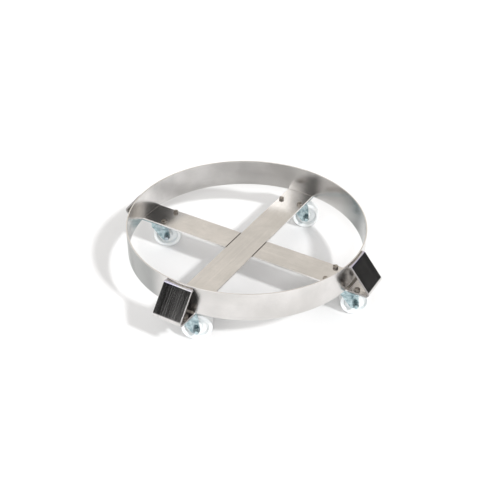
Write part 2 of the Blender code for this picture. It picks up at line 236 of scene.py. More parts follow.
class Wire:
    # one output of a shader tree; operators add Math nodes, so a value is written as an expression

    def __init__(self, tree, socket=None):
        self.tree = tree
        self.socket = socket

    def node(self, kind, settings=None, inputs=None, output=0):
        # any node: its settings first, a ramp's stops among them, then values or links for its sockets
        made = self.tree.nodes.new(kind)
        for name, value in (settings or {}).items():
            if name == "stops":
                fillRamp(made.color_ramp, value)
            else:
                setattr(made, name, value)
        for name, value in (inputs or {}).items():
            if isinstance(value, Wire):
                self.tree.links.new(value.socket, made.inputs[name])
            else:
                made.inputs[name].default_value = value
        return Wire(self.tree, made.outputs[output])

    def maths(self, operation, first, second=0.0):
        return self.node("ShaderNodeMath", {"operation": operation}, {0: first, 1: second})

    def __add__(self, other):
        return self.maths("ADD", self, other)

    __radd__ = __add__

    def __sub__(self, other):
        return self.maths("SUBTRACT", self, other)

    def __rsub__(self, other):
        return self.maths("SUBTRACT", other, self)

    def __mul__(self, other):
        return self.maths("MULTIPLY", self, other)

    __rmul__ = __mul__

    def __abs__(self):
        return self.maths("ABSOLUTE", self)

    def step(self, low, high):
        # 0 below low, 1 above high, smooth between
        limits = {"Value": self, "From Min": low, "From Max": high}
        return self.node("ShaderNodeMapRange", {"interpolation_type": "SMOOTHSTEP"}, limits)

    def blend(self, first, second):
        # a colour between two, by this value
        return self.node("ShaderNodeMix", {"data_type": "RGBA"}, {0: self, 6: first, 7: second}, 2)

    def stretched(self, scales):
        # coordinates multiplied axis by axis
        return self.node("ShaderNodeVectorMath", {"operation": "MULTIPLY"}, {0: self, 1: scales})

    def noise(self, scale=1.0, detail=3.0, roughness=0.55, distortion=0.0):
        sizes = {"Vector": self, "Scale": scale, "Detail": detail, "Roughness": roughness}
        sizes["Distortion"] = distortion
        return self.node("ShaderNodeTexNoise", {}, sizes)

    def axis(self, name):
        return self.node("ShaderNodeSeparateXYZ", {}, {0: self}, name)


def fillRamp(ramp, stops):
    while len(ramp.elements) < len(stops):
        ramp.elements.new(0.5)
    for element, (position, colour) in zip(ramp.elements, stops):
        element.position = position
        element.color = (*colour, 1.0)


def startMaterial(name):
    # a new material, its Principled shader, a wire to add nodes from, and the object's own coordinates
    material = bpy.data.materials.new(name)
    material.use_nodes = True
    wire = Wire(material.node_tree)
    shader = wire.tree.nodes["Principled BSDF"]
    return material, shader, wire, wire.node("ShaderNodeTexCoord", output="Object")


def feed(shader, **values):
    # links or sets the shader's sockets; an underscore in a name stands for a space
    for name, value in values.items():
        socket = shader.inputs[name.replace("_", " ")]
        if isinstance(value, Wire):
            value.tree.links.new(value.socket, socket)
        else:
            socket.default_value = value


def bumped(height, distance, **below):
    # a Bump node's normal, over another one where it is given
    return height.node("ShaderNodeBump", {}, {"Height": height, "Distance": distance, **below})


steelLook = {
    "dark": (0.64, 0.63, 0.62, 1.0),
    "light": (0.87, 0.85, 0.835, 1.0),
    "stain": (0.57, 0.555, 0.53, 1.0),
    "paintedShade": (0.31, 0.32, 0.315, 1.0),
    "sheared": (0.24, 0.23, 0.225, 1.0),
    "scored": (0.92, 0.90, 0.92, 1.0),
    "heatTint": (0.62, 0.60, 0.88, 1.0),
    "fineLines": 3200.0,  # per metre across the grain
    "broadLines": 700.0,
    "alongGrain": 9.0,  # per metre along it
    "polished": 0.09,
    "satin": 0.13,
    "dull": 0.28,
    "paintedShadeOutside": (-0.10, -0.03),  # x where the painted shade on the ring's outside ends
    "paintedShadeInside": (0.10, 0.22),  # and where it begins on its inside
    "lineDepth": 0.022 * mm,
    "warp": 0.4 * mm,  # slow waviness of the rolled sheet
}


def brushedSteel(name, acrossAxis, edgeMiddle, edgeHalf):
    # brushed stainless: streaks that are narrow across the strip and long along it shift the colour and
    # the roughness and cut fine lines; slow clouds stain it, and a strip's edges are polished; its folded
    # ends are polished too, with stronger lines, dark on their sheared sides and heat tinted on top; painted
    # shade darkens the ring's outside towards -X and its inside towards +X, for the darker reflections there
    look = steelLook
    material, shader, wire, place = startMaterial(name)
    fine = [look["alongGrain"]] * 3
    broad = [look["alongGrain"] / 2] * 3
    fine[acrossAxis] = look["fineLines"]
    broad[acrossAxis] = look["broadLines"]
    fineLines = place.stretched(fine).noise(detail=2.0)
    broadLines = place.stretched(broad).noise(detail=3.0)
    cloud = place.noise(scale=13.0, detail=4.0, roughness=0.6)
    stain = place.noise(scale=5.0, detail=2.0).step(0.42, 0.68)
    streak = (fineLines * 0.7 + broadLines * 0.3).step(0.3, 0.7)
    across = place.axis("XYZ"[acrossAxis])
    edge = abs(across - edgeMiddle).step(edgeHalf - 1.6 * mm, edgeHalf - 0.4 * mm)
    onRing = acrossAxis == 2
    cloudy = 0.65 if onRing else 0.4  # share of the clouds, beside the streaks
    base = (streak * (1 - cloudy) + cloud.step(0.3, 0.7) * cloudy).blend(look["dark"], look["light"])
    base = (stain * cloudy * 0.7).blend(base, look["stain"])
    base = (edge * 0.6).blend(base, look["light"])
    if onRing:
        flat = place.stretched((1, 1, 0))
        radius = wire.node("ShaderNodeVectorMath", {"operation": "LENGTH"}, {0: flat}, "Value")
        outside = radius.step(ringOuter - 1.2 * mm, ringOuter - 0.8 * mm)
        sideways = place.axis("X")
        # painted shade: a darker tone on the ring's outside towards -X and inside towards +X stands in for
        # darker reflections
        darkening = outside * (1 - sideways.step(*look["paintedShadeOutside"]))
        darkening = darkening + (1 - outside) * sideways.step(*look["paintedShadeInside"])
        base = (darkening * (1 - edge) * (0.72 + cloud * 0.36)).blend(base, look["paintedShade"])
    rough = look["satin"] + (look["dull"] - look["satin"]) * (streak * 0.45 + cloud * 0.55)
    lines = bumped(fineLines * 0.6 + broadLines * 0.4, look["lineDepth"])
    if not onRing:
        tint = place.axis("Z").step(outriggerTop - 9 * mm, outriggerTop - 1 * mm) * cloud.step(0.35, 0.65)
        folded = abs(place.axis("YX"[acrossAxis])).step(ringOuter - 2 * mm, ringOuter + 4 * mm)
        scored = place.stretched(broad).noise(detail=5.0, roughness=0.7).step(0.45, 0.75)
        base = (tint * 0.7).blend(base, look["heatTint"])
        darkLines = place.stretched(broad).noise(detail=2.0).step(0.38, 0.62)
        base = (folded * (1 - darkLines) * 0.2).blend(base, look["sheared"])
        base = (folded * scored * 0.3).blend(base, look["scored"])
        sheared = abs(across).step(edgeHalf - 0.3 * mm, edgeHalf - 0.1 * mm)
        base = (folded * sheared * 0.8).blend(base, look["sheared"])
        rough = rough - folded * (rough - look["polished"] - scored * 0.14)
    warp = bumped(place.noise(scale=5.5, detail=1.0), look["warp"], Normal=lines)
    feed(shader, Base_Color=base, Roughness=rough - edge * 0.04, Metallic=1.0, Normal=warp)
    return material


zincLook = {
    "pale": (0.60, 0.73, 0.76, 1.0),
    "deep": (0.20, 0.29, 0.315, 1.0),
    "violet": (0.62, 0.58, 0.66, 1.0),
    "spangle": 420.0,  # per metre
    "scratches": (900.0, 60.0, 90.0),
}


def platedZinc(name, shade=1.0):
    # bright zinc plate: cloudy blue over pale metal with a breath of violet, tiny pits and fine scratches;
    # shade scales every tone: below 1 it is painted shade, above 1 painted highlight
    look = zincLook
    material, shader, wire, place = startMaterial(name)
    cloud = place.noise(scale=85.0, detail=5.0, roughness=0.65)
    spangle = place.noise(scale=look["spangle"], detail=2.0)
    warm = place.noise(scale=23.0, detail=2.0).step(0.52, 0.75)
    scratch = place.stretched(look["scratches"]).noise(detail=1.0).step(0.62, 0.72)
    shades = (shade, shade, shade, 1.0)
    pale, deep, violet = (np.array(look[tone]) * shades for tone in ("pale", "deep", "violet"))
    base = cloud.step(0.3, 0.7).blend(deep, pale)
    base = (warm * 0.45).blend(base, violet)
    rough = 0.18 + cloud * 0.16 + scratch * 0.12
    relief = bumped(spangle * 0.7 + scratch * 0.3, 0.03 * mm)
    feed(shader, Base_Color=base, Roughness=rough, Metallic=1.0, Normal=relief)
    return material


def boltMetal():
    # plain steel bolts, their base dark brown as painted shade for the dark they mirror, with a turning mark
    # and small dark specks
    material, shader, wire, place = startMaterial("bolt_steel_look")
    cloud = place.noise(scale=140.0, detail=4.0, roughness=0.6)
    speck = place.noise(scale=900.0, detail=2.0).step(0.6, 0.7)
    # painted shade: the dark brown base stands in for the dark the bolt heads mirror
    base = cloud.step(0.35, 0.65).blend((0.22, 0.19, 0.165, 1.0), (0.48, 0.45, 0.41, 1.0))
    base = (speck * 0.5).blend(base, (0.16, 0.14, 0.12, 1.0))
    relief = bumped(cloud * 0.6 + speck * 0.4, 0.04 * mm)
    feed(shader, Base_Color=base, Roughness=0.24 + cloud * 0.14, Metallic=1.0, Normal=relief)
    return material


def bearingSteel():
    # hard polished balls with a thin film of grease that dulls them in patches
    material, shader, wire, place = startMaterial("ball_steel_look")
    darkening = place.noise(scale=700.0, detail=2.0).step(0.45, 0.6)
    base = darkening.blend((0.62, 0.62, 0.62, 1.0), (0.40, 0.36, 0.28, 1.0))
    feed(shader, Base_Color=base, Roughness=0.10 + darkening * 0.25, Metallic=1.0)
    return material


nylonLook = {
    "clean": (0.86, 0.875, 0.875, 1.0),
    "shaded": (0.80, 0.83, 0.84, 1.0),
    "grime": (0.42, 0.47, 0.48, 1.0),
    "scuff": (0.50, 0.49, 0.47, 1.0),
}


def mouldedNylon():
    # white nylon: a faint blue cloud in the moulding, a fine skin, painted shade in the corners of the
    # recess, and grey scuffs where the tread runs
    look = nylonLook
    material, shader, wire, place = startMaterial("white_nylon_look")
    cloud = place.noise(scale=40.0, detail=3.0)
    skin = place.noise(scale=1800.0, detail=2.0)
    wear, grime = (
        wire.node("ShaderNodeAttribute", {"attribute_name": mask}, output="Fac") for mask in ("wear", "grime")
    )
    scuffs = place.noise(scale=210.0, detail=5.0, roughness=0.7, distortion=0.6).step(0.52, 0.66)
    marks = wear * scuffs
    base = cloud.step(0.35, 0.65).blend(look["shaded"], look["clean"])
    # painted shade darkens the corners of the recess
    base = (grime * (0.35 + cloud * 0.5)).blend(base, look["grime"])
    base = (marks * 0.55).blend(base, look["scuff"])
    relief = bumped(skin * 0.5 + marks * 0.5, 0.03 * mm)
    feed(shader, Base_Color=base, Roughness=0.34 + cloud * 0.1 + marks * 0.25, Normal=relief)
    shader.inputs["Subsurface Weight"].default_value = 0.15
    shader.inputs["Subsurface Radius"].default_value = (2.0 * mm, 2.2 * mm, 2.4 * mm)
    return material


def weldMetal():
    # bare weld: rough silver ripples with straw and blue oxide between them
    material, shader, wire, place = startMaterial("weld_metal_look")
    oxide = place.noise(scale=260.0, detail=4.0, roughness=0.65)
    colours = [(0.3, (0.20, 0.17, 0.15)), (0.5, (0.44, 0.40, 0.35)), (0.7, (0.58, 0.56, 0.54))]
    base = wire.node("ShaderNodeValToRGB", {"stops": colours}, {"Fac": oxide})
    relief = bumped(place.noise(scale=900.0, detail=3.0), 0.08 * mm)
    feed(shader, Base_Color=base, Roughness=0.30 + oxide * 0.3, Metallic=1.0, Normal=relief)
    return material


ringSteel = brushedSteel("ring_steel", 2, (ringLow + ringHigh) / 2, (ringHigh - ringLow) / 2)
mainBarSteel = brushedSteel("main_bar_steel", 0, 0.0, barHalf)
crossBarSteel = brushedSteel("cross_bar_steel", 1, 0.0, barHalf)
zinc = platedZinc("zinc_plate_look")
# painted shade: a darker copy of the zinc for the nuts and washers
zincPaintedShade = platedZinc("dark_zinc_look", shade=0.55)
# painted highlight: a lighter copy of the zinc for the axle bolts
zincPaintedHighlight = platedZinc("bright_zinc_look", shade=1.25)
boltSteel = boltMetal()
ballSteel = bearingSteel()
nylon = mouldedNylon()
weld = weldMetal()
print("stage: materials made")


def steelPiece(name, shapes, material, nodes=()):
    return addPiece(name, shapes, material, "frame", nodes)


# ring

ringShape = {"segments": 384, "edgeRounding": 0.7 * mm}


def makeRing():
    # a rectangle with rounded edges, turned about the drum's axis
    corners = [(ringInner, ringLow), (ringOuter, ringLow), (ringOuter, ringHigh), (ringInner, ringHigh)]
    profile = roundedOutline(corners, ringShape["edgeRounding"], held=True)
    shape = turned(profile, ringShape["segments"])
    steelPiece("ring", [shape], ringSteel, ["ring_band"])


makeRing()


# bars, folded up at their ends into the open outriggers

barShape = {
    "contactGap": 0.3 * mm,  # left by the CAD between faces that touch
    "foldRadius": 10.0 * mm,  # outside of each bend
    "edgeRounding": 0.8 * mm,
    "bendSteps": 18,
    "jointChamfer": 1.0 * mm,
    "holeRadius": 4.75 * mm,
}
barThickness = ringLow - barShape["contactGap"] - barLow
barTop = barLow + barThickness
crossStart = extent("cross_bar_right", xAxis)[0]


def outriggerPath():
    # outer face of the strip as (distance out, height), with the direction into the strip: round one bend,
    # straight, and round the next until it lies level against the ring
    radius = barShape["foldRadius"]
    low = np.array([outriggerReach - radius, barLow + radius])
    high = np.array([ringOuter + barShape["contactGap"], outriggerTop - radius])
    rise = high - low
    faceAngle = math.atan2(-rise[0], rise[1])
    steps = barShape["bendSteps"] + 1
    angles = [np.linspace(-math.pi / 2, faceAngle, steps), np.linspace(faceAngle, math.pi / 2, steps)]
    facing = [np.stack([np.cos(a), np.sin(a)], axis=-1) for a in angles]
    outer = np.concatenate([low + radius * facing[0], high + radius * facing[1]])
    return outer, -np.concatenate(facing)


def stripAlong(outer, inward):
    # the strip's rounded section, half a width to each side and one thickness deep, carried along the path
    corners = [(-barHalf, 0.0), (barHalf, 0.0), (barHalf, barThickness), (-barHalf, barThickness)]
    section = roundedOutline(corners, barShape["edgeRounding"], held=True)
    across, depth = section[:, 0], section[:, 1]
    distance = outer[:, :1] + inward[:, :1] * depth
    height = outer[:, 1:] + inward[:, 1:] * depth
    points = np.stack([distance, across + 0 * distance, height], axis=-1)
    return surface(points, caps=True)


def jointGroove():
    # V grooves along the upper edges where the cross bar's halves meet the main bar
    chamfer = barShape["jointChamfer"]
    inner, outer = barHalf - chamfer, crossStart + chamfer
    shapes = []
    above, below = barTop + chamfer, barTop - chamfer
    section = [(inner - chamfer, above), (outer + chamfer, above), (outer, barTop), (crossStart, below)]
    section += [(barHalf, below), (inner, barTop)]
    for side in (-1, 1):
        rows = [[(side * x, y, z) for x, z in section] for y in (-barHalf, barHalf)]
        shapes.append(surface(np.array(rows), caps=True))
    return shapes


def drillRod(radius, low, high):
    # a round rod to cut a bore with
    return turned([(radius, low), (radius, high)], 48, wrapRows=False, caps=True)


def boltHoles(names):
    # an upright drill through the bar at each bolt
    drill = drillRod(barShape["holeRadius"], barLow - barThickness, barTop + barThickness)
    return [placed(drill, (*middle(name)[:2], 0.0), np.eye(3)) for name in names]


def boltNames(station):
    return [f"plate_bolt_{station}_{number}" for number in (1, 2, 3, 4)]


def makeBars():
    outer, inward = outriggerPath()
    up = np.array([[0.0, 1.0]])
    both = [np.concatenate([path[::-1] * (-1.0, 1.0), path]) for path in (outer, inward)]
    shape = placed(stripAlong(*both), (0, 0, 0), [yAxis, -xAxis, zAxis])
    bar = steelPiece("bar_main", [shape], mainBarSteel, ["main_bar"])
    cutFrom(bar, jointGroove())
    cutFrom(bar, boltHoles(boltNames("back") + boltNames("front")))
    start = np.array([[crossStart, barLow]])
    half = stripAlong(np.concatenate([start, outer]), np.concatenate([up, inward]))
    for side, sign in (("right", 1), ("left", -1)):
        shape = placed(half, (0, 0, 0), [sign * xAxis, sign * yAxis, zAxis])
        bar = steelPiece(f"bar_{side}", [shape], crossBarSteel, [f"cross_bar_{side}"])
        cutFrom(bar, jointGroove())
        cutFrom(bar, boltHoles(boltNames(side)))


makeBars()
print("stage: ring and bars made")


# welds

weldShape = {
    "ripple": 1.9 * mm,  # one weave of the torch to the next
    "rippleDepth": 0.14,
    "ringLeg": 3.2 * mm,
    "topLeg": 2.6 * mm,
    "underLeg": 2.8 * mm,
    "gapFill": 0.55 * mm,
    "sectionPoints": 14,
}


def bead(path, sideways, upward, leg, flat=1.0):
    # a round section, squashed by flat, carried along a path; its radius swells and falls with each ripple
    # and dies away over the last leg at both ends
    steps = np.linalg.norm(np.diff(path, axis=0), axis=1)
    along = np.concatenate([[0.0], np.cumsum(steps)])
    phase = (along / weldShape["ripple"]) % 1.0
    swell = 1 - weldShape["rippleDepth"] * np.abs(2 * phase - 1) ** 2
    fade = np.sqrt(np.clip(np.minimum(along, along[-1] - along) / leg, 0.04, 1))
    radius = (leg * swell * fade)[:, None, None]
    angle = fullTurn(weldShape["sectionPoints"])[None, :, None]
    lean = 0.35 * np.cos(angle) ** 2  # each ripple is a crescent, its middle a little ahead
    ahead = np.gradient(path, axis=0)
    ahead /= np.linalg.norm(ahead, axis=1)[:, None]
    ring = np.cos(angle) * sideways[:, None] + flat * np.sin(angle) * upward[:, None]
    points = path[:, None] + radius * (ring - lean * ahead[:, None] * 0.6)
    return surface(points, caps=True)


def arcOnRing(station, radius, height, reach, steps=150):
    # points round the ring's wall across the bar end, with the outward and upward directions
    middleAngle = math.radians(90.0 * stations.index(station))
    half = math.asin(reach / radius)
    angle = middleAngle + np.linspace(-half, half, steps)
    outward = aroundZ(1.0, angle, 0.0)
    upward = np.zeros_like(outward) + zAxis
    return outward * radius + zAxis * height, outward, upward


def makeWelds():
    reach = barHalf - 2 * mm
    for station in stations:
        arc = arcOnRing(station, ringOuter + 0.3 * mm, barTop + 0.3 * mm, reach)
        foot = bead(*arc, weldShape["ringLeg"])
        arc = arcOnRing(station, ringOuter + 0.2 * mm, outriggerTop - 0.5 * mm, reach)
        top = bead(*arc, weldShape["topLeg"], flat=0.55)
        steelPiece(f"weld_ring_foot_{station}", [foot], weld)
        steelPiece(f"weld_outrigger_{station}", [top], weld)
    gapMiddle = (barHalf + crossStart) / 2
    for side, sign in (("right", 1), ("left", -1)):
        y = np.linspace(-reach, reach, 160)
        line = np.stack([0 * y + sign * gapMiddle, y, 0 * y + barLow], axis=-1)
        sideways, upward = np.zeros_like(line) + xAxis, np.zeros_like(line) + zAxis
        under = bead(line, sideways, upward, weldShape["underLeg"], flat=0.45)
        root = line + zAxis * (barThickness - 2.4 * mm)
        fill = bead(root, sideways, upward, weldShape["gapFill"], flat=2.2)
        steelPiece(f"weld_cross_{side}", [under, fill], weld)


makeWelds()
print("stage: welds made")


# hexagon bolts and nuts

boltShape = {
    "chamferSlope": 0.55,  # tangent of the corner chamfer on heads and nuts
    "perSide": 10,
    "threadDepth": 0.4,  # of the pitch
    "nutHeight": 6.7 * mm,
    "washerRadius": 6.6 * mm,
    "washerThickness": 1.6 * mm,
    "plate": {"flats": 12.7 * mm, "radius": 3.97 * mm, "pitch": 1.41 * mm, "threadLength": 14.0 * mm},
    "axle": {"flats": 14.3 * mm, "radius": 4.76 * mm, "pitch": 1.59 * mm, "threadLength": 16.0 * mm},
}


def hexRows(flats, rows):
    # rings of points round the hexagon; each row is (height, chamfer sign, radius): where a chamfer sign is
    # given the corners fall away from the height as the conical chamfer cuts them, and a radius cuts them off
    sixth = math.tau / 6
    angle = fullTurn(6 * boltShape["perSide"])
    flat = flats / 2
    corner = flat / np.cos(angle % sixth - sixth / 2)
    made = []
    for height, sign, radius in rows:
        away = corner if radius is None else np.minimum(corner, radius)
        fall = sign * boltShape["chamferSlope"] * np.maximum(away - 0.965 * flat, 0)
        made.append(aroundZ(away, angle, height - fall))
    return np.array(made)


def threadRows(start, end, size):
    # a screw thread: the radius dips by a rounded V once a pitch as it winds down, and fades at both ends
    pitch = size["pitch"]
    angle = fullTurn(6 * boltShape["perSide"])
    steps = max(12, int(abs(end - start) / pitch * 10))
    height = np.linspace(start, end, steps)[:, None]
    phase = (height / pitch + angle / math.tau) % 1.0
    valley = np.abs(2 * phase - 1) ** 1.3
    ends = np.minimum(np.abs(height - start), np.abs(height - end)) / (0.6 * pitch)
    radius = size["radius"] - boltShape["threadDepth"] * pitch * valley * np.clip(ends, 0, 1)
    taper = np.clip(np.abs(height - end) / (0.8 * mm), 0, 1)
    return aroundZ(radius - 0.6 * mm * (1 - taper), angle, height)


def hexBolt(size, headHeight, shankLength):
    # head from its underside at 0 up to headHeight with a shallow dished top, shank down to -shankLength
    flat = size["flats"] / 2
    rod = size["radius"]
    dish = headHeight - 0.25 * mm
    head = [(dish, 0, 0.05 * mm), (dish, 0, 0.55 * flat), (headHeight, 0, 0.72 * flat)]
    head += [(headHeight, 0, 0.965 * flat), (headHeight, 1, None), (0.35 * mm, -0.3, None)]
    head += [(0.0, 0, 0.95 * flat), (0.0, 0, rod), (-0.4 * mm, 0, rod)]
    thread = threadRows(-shankLength + size["threadLength"], -shankLength, size)
    points = np.concatenate([hexRows(size["flats"], head), thread])
    return surface(points, caps=True)


def hexNut(size, height, collar=0.0, collarRadius=0.0):
    # both ends chamfered, with a countersunk bore just clear of the thread; a lock nut has a round collar on
    # top, rolled over a recessed ring
    bore = size["radius"] + 0.08 * mm
    flat = size["flats"] / 2
    rows = [(0.5 * mm, 0, bore), (0.0, 0, bore + 0.5 * mm), (0.0, 0, 0.955 * flat), (0.0, -1, None)]
    rows += [(height, 1, None), (height, 0, 0.955 * flat)]
    if collar:
        end = height + collar
        rows += [(height + 0.3 * mm, 0, collarRadius), (end - 1.1 * mm, 0, collarRadius)]
        rows += [(end - 0.3 * mm, 0, collarRadius - 0.35 * mm), (end, 0, collarRadius - 0.9 * mm)]
        rows += [(end - 0.3 * mm, 0, collarRadius - 1.2 * mm), (end - 1.2 * mm, 0, collarRadius - 1.25 * mm)]
        rows += [(end - 1.3 * mm, 0, bore)]
    else:
        rows += [(height, 0, bore + 0.5 * mm), (height - 0.5 * mm, 0, bore)]
    return surface(hexRows(size["flats"], rows), wrapRows=True)


def lockWasher():
    # a split spring ring: a square section turned nearly once round while it climbs a little
    inner = boltShape["plate"]["radius"] + 0.15 * mm
    outer = boltShape["washerRadius"]
    thickness = boltShape["washerThickness"] * 0.86
    section = roundedOutline([(inner, 0), (outer, 0), (outer, thickness), (inner, thickness)], 0.25 * mm, 2)
    angle = np.linspace(math.radians(4), math.radians(356), 60)[:, None]
    climb = (boltShape["washerThickness"] - thickness) * angle / math.tau
    return surface(aroundZ(section[:, 0], angle, section[:, 1] + climb), caps=True)


def turnedAbout(angle):
    # three axes for a piece that stands upright, turned by an angle
    return [(math.cos(angle), math.sin(angle), 0), (-math.sin(angle), math.cos(angle), 0), (0, 0, 1)]


def makePlateFasteners():
    # each bolt stands at its CAD bolt, its hexagon turned by a different angle from its neighbours'
    gap = barShape["contactGap"]
    low, high = extent(boltNames("right")[0], zAxis)
    headBase = barTop + gap
    size = boltShape["plate"]
    bolt = hexBolt(size, high - headBase, headBase - low)
    nut = hexNut(size, boltShape["nutHeight"])
    plateLow = extent("top_plate_right", zAxis)[1] - casterShape["plateThickness"]
    for count, station in enumerate(stations):
        nuts, washers = [], []
        for number, name in enumerate(boltNames(station)):
            x, y, _ = middle(name)
            turn = turnedAbout(0.4 + 1.7 * number + 0.9 * count)
            piece = placed(bolt, (x, y, headBase), turn)
            addPiece(f"bolt_{station}_{number + 1}", [piece], boltSteel, "frame", [name], 28.0)
            washerLow = plateLow - gap - boltShape["washerThickness"]
            washers.append(placed(lockWasher(), (x, y, washerLow), turn))
            nutLow = washerLow - gap - boltShape["nutHeight"]
            nuts.append(placed(nut, (x, y, nutLow), turnedAbout(0.2 + 2.3 * number)))
        addPiece(f"plate_nuts_{station}", nuts, zinc, "frame", sharpAngle=28.0)
        # painted shade: the washers take the darker zinc copy
        addPiece(f"lock_washers_{station}", washers, zincPaintedShade, "frame")


# casters

casterShape = {
    "plateThickness": 2.8 * mm,
    "plateCorner": 6.0 * mm,
    "lipRadius": 22.0 * mm,
    "lipWall": 2.0 * mm,
    "lipDepth": 3.0 * mm,
    "upperBall": 2.5 * mm,
    "upperRace": 16.5 * mm,
    "lowerBall": 2.0 * mm,
    "lowerRace": 10.5 * mm,
    "ballPitch": 2.5,  # ball to ball, in ball radii
    "pinRadius": 5.5 * mm,
    "pinRunning": 0.6 * mm,  # from the pin to the fork's bore
    "forkSheet": 2.5 * mm,
    "forkBend": 4.5 * mm,
    "crownFront": 22.0 * mm,
    "crownRear": 29.5 * mm,
    "crownLip": 7.0 * mm,
    "bossRadius": 12.3 * mm,  # round lower end of each leg
    "bossLead": 4.5 * mm,  # axle to that end's centre, towards the front
    "bossDrop": 1.6 * mm,
    "creaseFoot": (7.0 * mm, 38.0 * mm),  # a pressed crease on each leg, as (along the trail, height)
    "creaseHead": (19.0 * mm, 59.0 * mm),
    "creaseDepth": 0.8 * mm,
    "creaseHalf": 1.5 * mm,
    "wingTurn": 0.07,  # how far the front of the leg turns in past the crease, as a slope
    "drillDepth": 30.0 * mm,  # reach of the bores' drills to each side
    "hubRadius": 11.5 * mm,
    "webThickness": 15.0 * mm,
    "webStep": (19.4 * mm, 21.4 * mm, 0.7 * mm),  # a raised ring on the web: inside, outside and height
    "rimDepth": 8.5 * mm,
    "wallSlope": 2.5 * mm,
    "treadRound": 2.6 * mm,
    "lockCollar": 3.2 * mm,
    "lockCollarRadius": 6.35 * mm,
}


def casterAxes(station):
    # the swivel axis on the floor, the axle's middle, and the axes along the trail, towards the nut and up
    swivel = np.array(joints[f"swivel_{station}"]["pos_m"]) * (1, 1, 0)
    axle = np.array(joints[f"roll_{station}"]["pos_m"])
    towardNut = np.array(joints[f"roll_{station}"]["axis"], float)
    trailing = np.cross(zAxis, towardNut)
    return swivel, axle, trailing, towardNut


def topPlate(station, swivel):
    # a sheet whose bottom has a round lip pressed down and whose rim is a rectangle with round corners;
    # each ring of points is part circle and part rectangle
    shape = casterShape
    low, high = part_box(f"top_plate_{station}")
    halfX, halfY = (high[0] - low[0]) / 2, (high[1] - low[1]) / 2
    top, bottom = high[2], high[2] - shape["plateThickness"]
    corners = [(halfX, -halfY), (halfX, halfY), (-halfX, halfY), (-halfX, -halfY)]
    rim = roundedOutline(corners, shape["plateCorner"], 10)
    sides = [np.linspace(a, b, 14)[1:-1] for a, b in zip(rim[10::11], np.roll(rim[::11], -1, axis=0))]
    rim = np.concatenate([np.concatenate([rim[11 * i : 11 * i + 11], sides[i]]) for i in range(4)])
    angle = np.arctan2(rim[:, 1], rim[:, 0])
    circle = np.stack([np.cos(angle), np.sin(angle)], axis=-1)
    hole = shape["pinRadius"] + 0.3 * mm
    lip, inner, foot = shape["lipRadius"], shape["lipRadius"] - shape["lipWall"], bottom - shape["lipDepth"]
    edge = 0.35 * mm
    rings = [(0, hole, top), (0, lip + 4 * mm, top), (1, 1 * mm, top), (1, edge, top)]
    rings += [(1, 0.1 * mm, top - 0.1 * mm), (1, 0.0, top - edge)]
    rings += [(1, 0.0, bottom + edge), (1, 0.1 * mm, bottom + 0.1 * mm), (1, edge, bottom)]
    rings += [(1, 1 * mm, bottom), (0, lip + 1.6 * mm, bottom), (0, lip + 0.5 * mm, bottom - 0.4 * mm)]
    rings += [(0, lip, bottom - 1.2 * mm), (0, lip, foot + 0.5 * mm), (0, lip - 0.4 * mm, foot)]
    rings += [(0, inner + 0.4 * mm, foot), (0, inner, foot + 0.5 * mm)]
    rings += [(0, inner, bottom - 0.8 * mm), (0, inner - 0.8 * mm, bottom), (0, hole, bottom)]
    rows = []
    for square, size, height in rings:
        flat = rim * (1 - size / halfY) if square else circle * size
        rows.append(np.column_stack([flat, np.full(len(rim), height)]))
    centre = (swivel[0], swivel[1], 0.0)
    return placed(surface(np.array(rows), wrapRows=True), centre, np.eye(3))


def kingpin(low, high):
    # a rivet: a domed head below, a plain shank up through the plate, chamfered a little at its top
    rod = casterShape["pinRadius"]
    head = radii("kingpin_right", middle("kingpin_right"))[1]
    corners = [(0.05 * mm, low), (0.55 * head, low), (head, low + 1.1 * mm), (head, low + 2.0 * mm)]
    corners += [(rod, low + 2.0 * mm), (rod, high - 0.4 * mm), (rod - 0.4 * mm, high), (0.05 * mm, high)]
    rounding = np.array([0, 1.5, 0.4, 0.2, 0, 0.2, 0.2, 0]) * mm
    profile = roundedOutline(corners, rounding, 4, closed=False)
    return turned(profile, 64, wrapRows=False, caps=True)


def lowerCup(low, high):
    # a pressed dish with a rolled rim that holds the lower balls
    inner = casterShape["pinRadius"] + 0.3 * mm
    outer = radii("lower_cup_right", middle("lower_cup_right"))[1]
    corners = [(inner, low), (outer - 2.2 * mm, low), (outer, low + 0.7 * mm), (outer, high)]
    corners += [(outer - 1.0 * mm, high), (outer - 2.6 * mm, high - 0.5 * mm), (inner, high - 0.5 * mm)]
    return turned(roundedOutline(corners, [0.2 * mm] + [0.25 * mm] * 6, 3), 96)


def ballRing(ballRadius, raceRadius, height):
    # one ball as a sphere of latitude rings, set down once for each place round the race
    latitude = np.linspace(-math.pi / 2 + 0.02, math.pi / 2 - 0.02, 11)
    profile = ballRadius * np.stack([np.cos(latitude), np.sin(latitude)], axis=-1)
    ball = turned(profile, 18, wrapRows=False, caps=True)
    count = int(math.tau * raceRadius / (casterShape["ballPitch"] * ballRadius))
    return repeated(ball, aroundZ(raceRadius, fullTurn(count), height))


def tangentAngle(point, centre, radius, side):
    # where a line from a point touches a circle, as an angle round it; side picks one of the two lines
    away = np.asarray(point) - np.asarray(centre)
    return math.atan2(away[1], away[0]) + side * math.acos(radius / np.linalg.norm(away))


def legPress(shape, length, height):
    # how far the leg is pressed in: a groove along the crease, and the wing in front of it turned towards
    # the wheel; both die away towards the crown
    foot, head = np.array(shape["creaseFoot"]), np.array(shape["creaseHead"])
    along = (head - foot) / np.linalg.norm(head - foot)
    ahead = (length - foot[0]) * -along[1] + (height - foot[1]) * along[0]
    groove = shape["creaseDepth"] * np.exp(-((ahead / shape["creaseHalf"]) ** 2))
    wing = shape["wingTurn"] * np.maximum(ahead, 0)
    return (groove + wing) * (1 - smoothStep(head[1] - 1 * mm, head[1] + 8 * mm, height))


